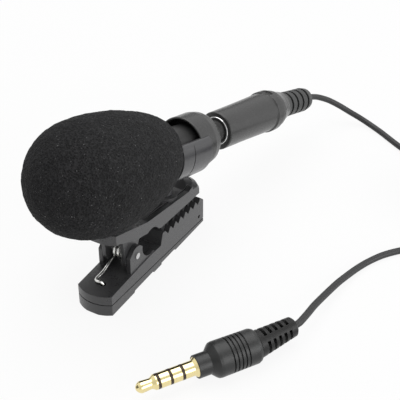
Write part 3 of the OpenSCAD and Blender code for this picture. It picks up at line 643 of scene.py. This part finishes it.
for name, slot in slot_of.items():
    if slot in finish:
        dress(name, finish[slot])
dress("plug_grip", finish["grip_plastic"])
dress("plug_boot", finish["boot_rubber"])
print("dressed:", sum(slot in finish for slot in slot_of.values()), "pieces")

# %% [markdown]
# ## Foam windscreen
# The windscreen is a ball of open-cell foam, drawn out to a neck where the tube goes in. It
# could be a subdivided cube that is pulled to shape, but a turned net follows its outline
# exactly: rings of points from the nose to the neck, round the lip and into the bore. First
# come the rings, each as a place along the tube, a radius, and how far the ring's centre is
# lifted, because the foam sits a little high on its tube.

# %% The windscreen's outline
FOAM_MID = -27.5
FOAM_R = 14.0
FOAM_FRONT = 15.0
FOAM_TAPER = 30.4
FOAM_CUT = 6.0
FOAM_TAIL = FOAM_TAPER - FOAM_CUT
LIP_LONG, LIP_IN, LIP_RINGS = 0.9, 1.3, 8
DIMPLE, FACE_RINGS = 0.4, 10
TUBE_R, BORE_PLAY = 5.1, 0.12
BORE_R = TUBE_R + BORE_PLAY
BORE_PLACES = (-6.0, -12.0, -20.0, -28.4)
FRONT_RINGS, BACK_RINGS = 120, 160


def foam_rings():
    """(place, radius, share of the lift) of each ring, from the nose into the bore."""
    rings = []
    for i in range(1, FRONT_RINGS + 1):
        turn = math.radians(90) * i / FRONT_RINGS
        rings.append((FOAM_MID - FOAM_FRONT * math.cos(turn), FOAM_R * math.sin(turn), 1))
    for i in range(1, BACK_RINGS + 1):
        x = (FOAM_TAIL - LIP_LONG) * i / BACK_RINGS
        rings.append((FOAM_MID + x, FOAM_R * math.sqrt(1 - (x / FOAM_TAPER) ** 2), 1))
    start = rings[-1][1]
    for i in range(1, LIP_RINGS + 1):
        turn = math.radians(90) * i / LIP_RINGS
        rings.append((FOAM_MID + FOAM_TAIL - LIP_LONG + LIP_LONG * math.sin(turn),
                      start - LIP_IN * (1 - math.cos(turn)), 1))
    start = rings[-1][1]
    for i in range(1, FACE_RINGS + 1):
        share = i / FACE_RINGS
        rings.append((FOAM_MID + FOAM_TAIL - DIMPLE * share ** 3,
                      start + (BORE_R - start) * share, 1 - share))
    return rings + [(x, BORE_R, 0) for x in BORE_PLACES]


rings = foam_rings()
print("foam rings:", len(rings))

# %% [markdown]
# ## The windscreen's net
# The rings are joined with four-sided faces, and a point closes each end. The clip's lever
# passes under the foam and presses it flat there, so points below that level are eased up to
# it. The net is built along X and carried over to the microphone's frame.

# %% Foam mesh
FOAM_LIFT = 1.0
FOAM_FLAT, FLAT_EASE = -10.2, 0.6
FOAM_AROUND = 310
NOSE_OUT = 0.02


def ring_mesh(name, rings, around, place_point):
    """A closed net of rings, with a point at each end, from place_point(x, r, lift, angle)."""
    points = [place_point(rings[0][0] - NOSE_OUT, 0, rings[0][2], 0)]
    for x, r, lift in rings:
        points += [place_point(x, r, lift, math.tau * k / around) for k in range(around)]
    points.append(place_point(rings[-1][0], 0, rings[-1][2], 0))
    last = len(points) - 1
    faces = [(0, 1 + (k + 1) % around, 1 + k) for k in range(around)]
    for i in range(len(rings) - 1):
        a, b = 1 + i * around, 1 + (i + 1) * around
        faces += [(a + k, a + (k + 1) % around, b + (k + 1) % around, b + k)
                  for k in range(around)]
    a = 1 + (len(rings) - 1) * around
    faces += [(a + k, a + (k + 1) % around, last) for k in range(around)]
    mesh = bpy.data.meshes.new(name)
    mesh.from_pydata([tuple(p) for p in points], [], faces)
    work = bmesh.new()
    work.from_mesh(mesh)
    bmesh.ops.recalc_face_normals(work, faces=work.faces)
    work.to_mesh(mesh)
    work.free()
    mesh.shade_smooth()
    return mesh


def foam_point(x, r, lift, angle):
    """A point of the windscreen, pressed flat where the lever passes under it."""
    y = r * math.sin(angle)
    z = FOAM_LIFT * lift + r * math.cos(angle)
    if lift > 0.5 and z < FOAM_FLAT + FLAT_EASE:
        z = FOAM_FLAT + FLAT_EASE * math.exp((z - FOAM_FLAT - FLAT_EASE) / FLAT_EASE)
    return mm(x, y, z)


mesh = ring_mesh("foam", rings, FOAM_AROUND, foam_point)
mesh.transform(mic_frame)
foam = add("foam", mesh)
print("foam faces:", len(mesh.polygons))

# %% [markdown]
# ## The foam's unevenness
# Cut foam is never a clean ball. Noise moves each point a little along its normal, in three
# sizes: soft lumps, dents and cells. Noise that is read straight from the place shows its own
# square lattice on so round a shape, so the place is first pushed about by another noise.
# That one starts from a random offset, and a seed makes it the same in each run. Points
# inside the bore stay where they are.

# %% Uneven foam
FOAM_SEED = 5
WARP, WARP_PITCH = 1.6, 0.4
LUMPS = [(0.16, 0.22), (0.09, 0.55), (0.07, 1.1)]
SHRINK = 0.1

noise.seed_set(FOAM_SEED)
outside = 1 + (len(rings) - len(BORE_PLACES)) * FOAM_AROUND
before = [(v.co.copy(), v.normal.copy()) for v in mesh.vertices]
moved = []
for i, (at, outward) in enumerate(before):
    if i < outside:
        spot = at / MM
        spot += WARP * noise.noise_vector(spot * WARP_PITCH)
        grow = sum(size * noise.noise(spot * pitch) for size, pitch in LUMPS) - SHRINK
        at = at + outward * grow * MM
    moved.extend(at)
mesh.vertices.foreach_set("co", moved)
mesh.update()
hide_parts("foam_windscreen")
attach(foam, "windscreen")
print("foam points:", len(mesh.vertices))

# %% [markdown]
# ## Foam finish
# Open-cell foam is a net of thin struts, so it drinks light: each cell is a dark pit, and here
# and there a strut catches the light as a fine speck. A Voronoi pattern gives the pits, by the
# distance from the middle of each cell: they dent the surface, and they also darken the colour
# as painted shade. Its place is pushed about by a noise, so that the cells don't stand in rows.
# Two more noises vary the shade at random and pick the few specks, which are painted glints:
# a pale colour laid over the base.

# %% Foam material
# The pale colour of the painted glints, standing in for light caught by a strut.
PAINTED_GLINT = (0.2, 0.2, 0.2)

foam_black, out = blank_material("open_cell_foam")
tree = foam_black.node_tree
shader = place(tree, "BsdfPrincipled", {"IOR": 1.25, "Roughness": 0.85})
where = place(tree, "TexCoord")
wander = place(tree, "TexNoise", {"Scale": 900.0, "Detail": 3.0, "Roughness": 0.7})
centred = place(tree, "VectorMath", {1: (0.5, 0.5, 0.5)}, operation="SUBTRACT")
push = place(tree, "VectorMath", {"Scale": 0.0009}, operation="SCALE")
warped = place(tree, "VectorMath", operation="ADD")
cells = place(tree, "TexVoronoi", {"Scale": 2100.0})
pits = place(tree, "MapRange", {"From Min": 0.15, "From Max": 0.8})
clouds = place(tree, "TexNoise", {"Scale": 420.0, "Detail": 5.0, "Roughness": 0.7})
glints = place(tree, "TexNoise", {"Scale": 3100.0, "Detail": 1.0})
bump = place(tree, "Bump", {"Strength": 1.0, "Distance": 0.0002})
pit_shade_and_tone = place(tree, "Mix", {"Factor": 0.4}, data_type="FLOAT")
stretch = place(tree, "MapRange", {"From Min": 0.25, "From Max": 0.8})
spark = place(tree, "MapRange", {"From Min": 0.69, "From Max": 0.75})
rare = place(tree, "MapRange", {"From Min": 0.45, "From Max": 0.6})
painted_glint_mask = place(tree, "Math", operation="MULTIPLY")
wire(tree, where, "Object", wander, "Vector")
wire(tree, wander, "Color", centred, 0)
wire(tree, centred, "Vector", push, 0)
wire(tree, where, "Object", warped, 0)
wire(tree, push, "Vector", warped, 1)
wire(tree, warped, "Vector", cells, "Vector")
wire(tree, warped, "Vector", clouds, "Vector")
wire(tree, warped, "Vector", glints, "Vector")
wire(tree, cells, "Distance", pits, "Value")
wire(tree, pits, "Result", bump, "Height")
wire(tree, bump, "Normal", shader, "Normal")
# The pits darken the colour too, as painted shade in each cell, mixed with random clouds.
wire(tree, pits, "Result", pit_shade_and_tone, "A")
wire(tree, clouds, "Fac", pit_shade_and_tone, "B")
wire(tree, pit_shade_and_tone, "Result", stretch, "Value")
wire(tree, glints, "Fac", spark, "Value")
wire(tree, clouds, "Fac", rare, "Value")
wire(tree, spark, "Result", painted_glint_mask, 0)
wire(tree, rare, "Result", painted_glint_mask, 1)
base = shaded(tree, (0.008, 0.008, 0.0084), (0.023, 0.023, 0.0238), stretch, "Result")
# Painted glints: a pale colour laid over the few specks that the noises pick.
with_painted_glints = over(tree, base, PAINTED_GLINT, painted_glint_mask, 0)
wire(tree, with_painted_glints, MIX_OUT, shader, "Base Color")
wire(tree, shader, "BSDF", out, "Surface")
foam.data.materials.append(foam_black)
print("finish:", foam_black.name)

# %% [markdown]
# ## Cord
# The lead is a thin, limp cord. It leaves the socket's strain relief in line with it, sags
# to the table, runs to a coil that is put away beside the microphone, and comes back to the
# plug. The two runs are laid point by point in millimetres. Where the cord leaves the socket
# follows from the microphone's frame.

# %% Where the cord lies
CORD_D = 1.7
FIRST_RUN = [(78.1, -10.7, 10.9), (80.4, -12, 9.6), (82.5, -13.5, 8.1), (84.6, -15.9, 6),
             (86.2, -18.6, 3.9), (87.1, -21.8, 2.2), (86.6, -25.4, 1.2), (84.9, -29.3, 0.86),
             (82.5, -33.2, 0.86), (80.2, -37, 0.86), (78.2, -41, 0.86), (76.9, -45.5, 0.86),
             (76.1, -50, 1), (75.9, -54.5, 1.2)]
LAST_RUN = [(51.6, -75.4, 7.7), (48.6, -73.9, 6.8), (45.8, -71.2, 5.4), (43.5, -67.8, 3.9),
            (41.5, -64.2, 2.5), (39.6, -60.9, 1.4), (37.3, -57.6, 0.9), (34.4, -54.4, 0.86),
            (30.7, -51.5, 0.86), (26.6, -49.4, 0.9), (22.5, -48.1, 1.2), (18.3, -47.2, 1.6),
            (14, -46.5, 2.1), (9.8, -46.1, 2.6), (5.8, -45.8, 3.1),
            (2, -45.6, 3.6), (-1.6, -45.6, 4)]
SOCKET_REAR = 49.5
SOCKET_BOOT = 15.0
BOOT_DROOP = math.radians(4)

boot_root = mic_frame @ mm(SOCKET_REAR, 0, 0) / MM
boot_tip = mic_frame @ mm(SOCKET_REAR + SOCKET_BOOT * math.cos(BOOT_DROOP), 0,
                          -SOCKET_BOOT * math.sin(BOOT_DROOP)) / MM
boot_way = (boot_tip - boot_root).normalized()
print("the cord leaves at", [round(c, 1) for c in boot_tip])

# %% [markdown]
# ## The coil
# The part that isn't used is put away in a flat coil. It winds inwards, climbs by one cord's
# thickness over half a turn, winds outwards, and so on for four layers. A formula gives its
# points, because no hand could lay them so evenly.

# %% The cord's coil
COIL_AT = (62, -64)
COIL_GAP = 0.47
COIL_LOW, COIL_STEP = 1.5, CORD_D + COIL_GAP
COIL_OUT, COIL_IN = 14.0, 4.7
LAYERS, LAYER_TURNS, CLIMB_TURNS = 4, 3.7, 0.5
ALL_TURNS = LAYERS * LAYER_TURNS + (LAYERS - 1) * CLIMB_TURNS
COIL_POINTS = 784


def coil_point(turns):
    """A point of the put-away coil, which winds in and out in four layers."""
    lap = LAYER_TURNS + CLIMB_TURNS
    layer = min(int(turns // lap), LAYERS - 1)
    rest = turns - layer * lap
    wound = min(rest / LAYER_TURNS, 1)
    climb = max(rest - LAYER_TURNS, 0) / CLIMB_TURNS
    near, far = (COIL_OUT, COIL_IN) if layer % 2 == 0 else (COIL_IN, COIL_OUT)
    r = near + (far - near) * wound
    rise = (layer + (1 - math.cos(math.pi * climb)) / 2) * COIL_STEP
    return Vector((COIL_AT[0] + r * math.cos(-math.tau * turns),
                   COIL_AT[1] + r * math.sin(-math.tau * turns), COIL_LOW + rise))


coil = [coil_point(ALL_TURNS * i / (COIL_POINTS - 1)) for i in range(COIL_POINTS)]
out_way = Vector((math.sin(-math.tau * ALL_TURNS), -math.cos(-math.tau * ALL_TURNS), 0))
print("the coil has", round(ALL_TURNS, 1), "turns")

# %% [markdown]
# ## The cord's whole route
# A Catmull-Rom spline passes through every point it is given, so it fills in the points
# between the listed ones. Each end starts with one short straight step, so that the cord
# leaves the socket, the coil and the plug in line with them.

# %% A smooth line through points
PLUG_AT = Vector((-41.05, -24.3, 4.15))
GRIP_END = 29.2
PLUG_BOOT, BOOT_BEND = 10.4, math.radians(8)
CORD_STEP = 0.8


def through(points, step):
    """A Catmull-Rom curve through the points, as points about one step apart."""
    ends = [points[0] * 2 - points[1]] + points + [points[-1] * 2 - points[-2]]
    line = []
    for a, b, c, d in zip(ends, ends[1:], ends[2:], ends[3:]):
        count = max(1, round((c - b).length / step))
        for i in range(count):
            t = i / count
            line.append(0.5 * (2 * b + (c - a) * t + (2 * a - 5 * b + 4 * c - d) * t * t
                               + (3 * b - a - 3 * c + d) * t ** 3))
    return line + [points[-1]]


def level(angle):
    """A direction along the table, by its angle from X."""
    return Vector((math.cos(angle), math.sin(angle), 0))


plug_way = level(PLUG_TURN + BOOT_BEND)
plug_end = PLUG_AT + GRIP_END * level(PLUG_TURN) + PLUG_BOOT * plug_way
start, end = coil[0] + Vector((0, CORD_D, 0)), coil[-1] + CORD_D * out_way
going = [boot_tip, boot_tip + CORD_D * boot_way, *map(Vector, FIRST_RUN),
         start + Vector((0, CORD_D, 0)), start]
coming = [end, end + CORD_D * out_way, *map(Vector, LAST_RUN),
          plug_end + CORD_D * plug_way, plug_end]
route = through(going, CORD_STEP) + coil + through(coming, CORD_STEP)

# %% [markdown]
# ## The cord's curve
# One open curve with a round bevel is enough for a cord, and it stays easy to reshape. Each
# point carries the cord's radius and the bevel is 1 deep, because Blender pads a curve's
# bounding box by the radius of its points, and a radius of one metre would spoil every
# measure taken from it.

# %% Cord curve
def round_curve(name, line, r):
    """A curve of round section along a line of points, all in millimetres."""
    curve = bpy.data.curves.new(name, "CURVE")
    curve.dimensions = "3D"
    curve.bevel_depth = 1
    curve.bevel_resolution = 4
    spline = curve.splines.new("POLY")
    spline.points.add(len(line) - 1)
    for point, at in zip(spline.points, line):
        point.co = (*(at * MM), 1)
        point.radius = r * MM
    spline.use_smooth = True
    return curve


curve = round_curve("cord", route, CORD_D / 2)
cord = add("cord", curve)
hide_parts("cord_from_socket", "cord_coil", "cord_to_plug")
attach(cord, "lead")
print("cord thickness:", CORD_D, "mm")

# %% [markdown]
# ## Cord sheath
# The sheath is soft extruded plastic. It has no grain from a mould, only a faint orange peel
# and slow changes of shade along its length, where it was drawn through the die.

# %% Sheath material
sheath, out = blank_material("extruded_sheath")
tree = sheath.node_tree
shader = place(tree, "BsdfPrincipled", {"IOR": 1.42})
skin = use(tree, grain, {"Fineness": 1800, "Depth": 0.35, "Cloudiness": 0.7})
film = use(tree, dust, {"Amount": 0.02})
dull = place(tree, "MapRange", {"From Min": 0.3, "From Max": 0.7, "To Min": 0.42,
                                "To Max": 0.6})
base = shaded(tree, (0.02, 0.02, 0.0205), (0.034, 0.034, 0.035), skin, "Shade")
dulled = over(tree, base, DUST, film, "Mask")
wire(tree, dulled, MIX_OUT, shader, "Base Color")
wire(tree, skin, "Shade", dull, "Value")
wire(tree, dull, "Result", shader, "Roughness")
wire(tree, skin, "Normal", shader, "Normal")
wire(tree, shader, "BSDF", out, "Surface")
curve.materials.append(sheath)
print("finish:", sheath.name)

# %% [markdown]
# ## Tie
# The put-away coil is held by a flat strap of soft plastic, wrapped round all the turns and
# closed on top.

# %% Tie
TIE_W, TIE_T = 5.0, 0.7

low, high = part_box("coil_tie")
inner_y, outer_y = low[1] / MM + TIE_T, high[1] / MM - TIE_T
inner_z, outer_z = low[2] / MM + TIE_T, high[2] / MM - TIE_T
print("tie round", round(outer_y - inner_y, 1), "by", round(outer_z - inner_z, 1), "mm")

# %% [markdown]
# ## The strap
# The strap follows a rounded loop, and its free end rises over its start and lies on it. Four
# points at each step along that line give the flat section, and a small bevel modifier takes
# the sharpness off its edges.

# %% Tie mesh
TIE_CORNER, CORNER_STEPS = 1.1, 6
TAIL_BACK, TAIL_STEP, TAIL_POINTS, TAIL_RISE = 2.4, 0.8, 8, 3
TAIL_GAP = 0.06
TIE_STEP, TIE_EDGE = 0.4, 0.15


def rounded_loop(y0, y1, z0, z1, r):
    """Points of a rounded rectangle, from the middle of its top, clockwise."""
    corners = [(y1 - r, z1 - r, 90), (y1 - r, z0 + r, 0), (y0 + r, z0 + r, -90),
               (y0 + r, z1 - r, -180)]
    line = [Vector((0, (y0 + y1) / 2, z1))]
    for y, z, first in corners:
        for i in range(CORNER_STEPS + 1):
            turn = math.radians(first - 90 / CORNER_STEPS * i)
            line.append(Vector((0, y + r * math.cos(turn), z + r * math.sin(turn))))
    return line


def strap(name, line, width, thick):
    """A flat band whose middle follows the line."""
    work = bmesh.new()
    rows = []
    for i, at in enumerate(line):
        way = (line[min(i + 1, len(line) - 1)] - line[max(i - 1, 0)]).normalized()
        side = Vector((0, -way.z, way.y)) * thick / 2
        across = Vector((width / 2, 0, 0))
        rows.append([work.verts.new((at + a * across + b * side) * MM)
                     for a, b in ((-1, -1), (1, -1), (1, 1), (-1, 1))])
    for one, two in zip(rows, rows[1:]):
        for k in range(4):
            work.faces.new((one[k], one[(k + 1) % 4], two[(k + 1) % 4], two[k]))
    work.faces.new(rows[0][::-1])
    work.faces.new(rows[-1])
    bmesh.ops.recalc_face_normals(work, faces=work.faces)
    mesh = bpy.data.meshes.new(name)
    work.to_mesh(mesh)
    work.free()
    return mesh


middle_t = TIE_T / 2
loop = rounded_loop(inner_y - middle_t, outer_y + middle_t, inner_z - middle_t,
                    outer_z + middle_t, TIE_CORNER)
lift = TIE_T + TAIL_GAP
tail = [Vector((0, loop[0].y - TAIL_BACK + TAIL_STEP * i,
                loop[0].z + lift * min(1, (i + 1) / TAIL_RISE))) for i in range(TAIL_POINTS)]
line = [p + Vector((COIL_AT[0], 0, 0))
        for p in through(loop, TIE_STEP) + through(tail, TIE_STEP)]
mesh = strap("cord_tie", line, TIE_W, TIE_T)
mesh.materials.append(finish["soft_plastic"])
tie = add("cord_tie", mesh)
soft_edge = tie.modifiers.new("edges", "BEVEL")
soft_edge.width = TIE_EDGE * MM
soft_edge.segments = 2
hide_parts("coil_tie")
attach(tie, "lead")
print("tie faces:", len(mesh.polygons))

# %% [markdown]
# ## Spring
# The spring is one piece of round wire. It starts as a hook in the pad of the lower jaw, runs
# up to the pin, winds round it three times and ends under the lever. Its legs are laid point
# by point, its coil is a helix, and the same spline as for the cord runs through all of them.

# %% The spring's path
PIN_X, PIN_Z = -9.3, 9.8
PAD_Z = 6.25
WIRE_R, WIRE_STEP = 0.41, 0.2
SPRING_R, SPRING_TURNS, SPRING_HALF = 1.75, 3, 1.7
PER_TURN = 16
LOWEST = 0.75

pad_leg = [(-18.05, -0.55, 5.0), (-18.1, -0.4, 5.7), (-18.25, 0.1, 6.35),
           (-18.4, 0.8, PAD_Z), (-18.1, 1.5, PAD_Z), (-17.3, SPRING_HALF, PAD_Z),
           (-14.7, SPRING_HALF, 6.35), (-12.1, SPRING_HALF, 7.15)]
wound = SPRING_TURNS * PER_TURN
winds = [(PIN_X + SPRING_R * math.cos(math.tau * (LOWEST + i / PER_TURN)),
          SPRING_HALF * (1 - 2 * i / wound),
          PIN_Z + SPRING_R * math.sin(math.tau * (LOWEST + i / PER_TURN)))
         for i in range(wound + 1)]
lever_leg = [(x, -SPRING_HALF, z) for x, z in
             ((-8.06, 8.56), (-7.55, 9.8), (-8.25, 11.55), (-10.5, 12.45), (-13.3, 15.1),
              (-15.7, 17.3))]
wire_line = through([Vector(p) for p in pad_leg + winds + lever_leg], WIRE_STEP)
print("spring wire:", len(wire_line), "points")

# %% [markdown]
# ## The spring as a mesh
# The round curve is turned into a mesh, which takes the place of the imported spring.

# %% Spring mesh
curve = round_curve("spring_wire", wire_line, WIRE_R)
curve.use_fill_caps = True
bar = bpy.data.objects.new("spring_curve", curve)
mesh = bpy.data.meshes.new_from_object(bar)
bpy.data.objects.remove(bar)
mesh.name = "spring_wire"
mesh.materials.clear()
mesh.materials.append(finish["spring_steel"])
spring = add("spring_wire", mesh)
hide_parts("torsion_spring")
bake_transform(spring)
print("spring faces:", len(mesh.polygons))
